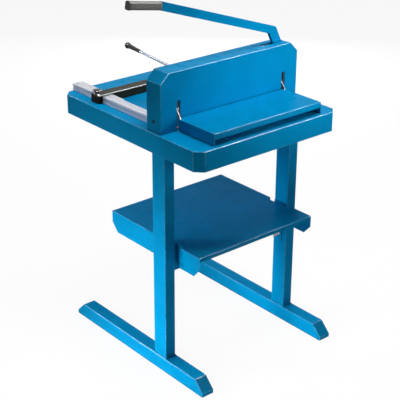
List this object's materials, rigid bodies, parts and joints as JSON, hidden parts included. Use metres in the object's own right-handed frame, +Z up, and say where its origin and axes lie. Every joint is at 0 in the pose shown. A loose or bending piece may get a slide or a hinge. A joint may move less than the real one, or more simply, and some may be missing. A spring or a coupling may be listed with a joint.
{
  "type": "stack paper cutter",
  "caption": "Manual guillotine for paper stacks on a two-legged stand with a shelf, with a long lever, a hinged front cover, a clamp lever and a sliding back gauge.",
  "frame": {"origin": "floor point under the centre of the whole object's bounding box", "axes": "+X to the operator's right, +Y to the back, +Z up"},
  "size_m": [0.6706, 0.716, 1.2335],
  "materials": {
    "blue_paint": "powder coat, semi-gloss",
    "dark_casting": "dark paint",
    "zinc_steel": "zinc plated",
    "chrome_steel": "chrome plated",
    "tool_steel": "ground",
    "silver_aluminium": "satin anodised",
    "black_metal": "black anodised",
    "grey_plastic": "satin",
    "black_plastic": "satin gloss",
    "stick_plastic": "plain"
  },
  "bodies": {
    "base": {"table_top": "blue_paint", "cutting_stick": "stick_plastic", "stick_channel": "zinc_steel", "housing_shell": "blue_paint", "left_end_frame": "dark_casting", "right_end_frame": "dark_casting", "frame_beam": "dark_casting", "frame_bolts": "zinc_steel", "housing_screws": "zinc_steel", "lever_axle": "chrome_steel", "axle_ring": "zinc_steel", "cover_pins": "zinc_steel", "shaft_bearings": "dark_casting", "bearing_bolts": "zinc_steel", "side_guide": "silver_aluminium", "guide_screws": "zinc_steel", "left_column": "blue_paint", "right_column": "blue_paint", "left_foot": "blue_paint", "right_foot": "blue_paint", "table_bolts": "zinc_steel", "shelf": "blue_paint", "shelf_beam": "blue_paint", "shelf_brackets": "blue_paint", "bracket_screws": "zinc_steel"},
    "lever": {"blade_lever": "blue_paint", "lever_grip": "grey_plastic", "grip_cap": "grey_plastic", "drive_roller": "tool_steel", "roller_pin": "zinc_steel"},
    "knife": {"blade_carrier": "dark_casting", "blade": "tool_steel", "blade_bolts": "tool_steel", "guide_pins": "chrome_steel"},
    "cover": {"front_cover": "blue_paint", "cover_arms": "chrome_steel", "arm_rivets": "zinc_steel"},
    "clamp_handle": {"clamp_shaft": "chrome_steel", "clamp_sectors": "tool_steel", "clamp_lever": "chrome_steel", "clamp_grip": "black_plastic"},
    "clamp": {"clamp_bar": "dark_casting", "clamp_racks": "tool_steel", "rack_screws": "tool_steel"},
    "gauge": {"back_gauge": "black_metal", "gauge_strip": "silver_aluminium", "gauge_block": "black_metal", "gauge_screws": "zinc_steel"},
    "knob": {"gauge_knob": "black_plastic"}
  },
  "joints": [
    {"name": "lever_swing", "type": "hinge", "parent": "base", "child": "lever", "pos_m": [0.293, -0.115, 0.95], "axis": [0, -1, 0], "range_deg": [0, 18]},
    {"name": "knife_slide", "type": "slide", "parent": "base", "child": "knife", "axis": [-0.2079, 0, -0.9781], "range_m": [0, 0.046]},
    {"name": "cover_hinge", "type": "hinge", "parent": "base", "child": "cover", "pos_m": [0.046, -0.1425, 0.8836], "axis": [-1, 0, 0], "range_deg": [0, 95]},
    {"name": "clamp_turn", "type": "hinge", "parent": "base", "child": "clamp_handle", "pos_m": [0.046, -0.07, 0.961], "axis": [1, 0, 0], "range_deg": [0, 75]},
    {"name": "clamp_slide", "type": "slide", "parent": "base", "child": "clamp", "axis": [0, 0, -1], "range_m": [0, 0.03413]},
    {"name": "gauge_slide", "type": "slide", "parent": "base", "child": "gauge", "axis": [0, 1, 0], "range_m": [-0.25, 0.12]},
    {"name": "knob_turn", "type": "hinge", "parent": "gauge", "child": "knob", "pos_m": [-0.208, 0.207, 0.85], "axis": [0, 0, 1], "range_deg": [-90, 90]}
  ],
  "couplings": [
    {"joint": "knife_slide", "follows": "lever_swing", "m_per_rad": 0.14644},
    {"joint": "clamp_slide", "follows": "clamp_turn", "m_per_rad": 0.026}
  ]
}
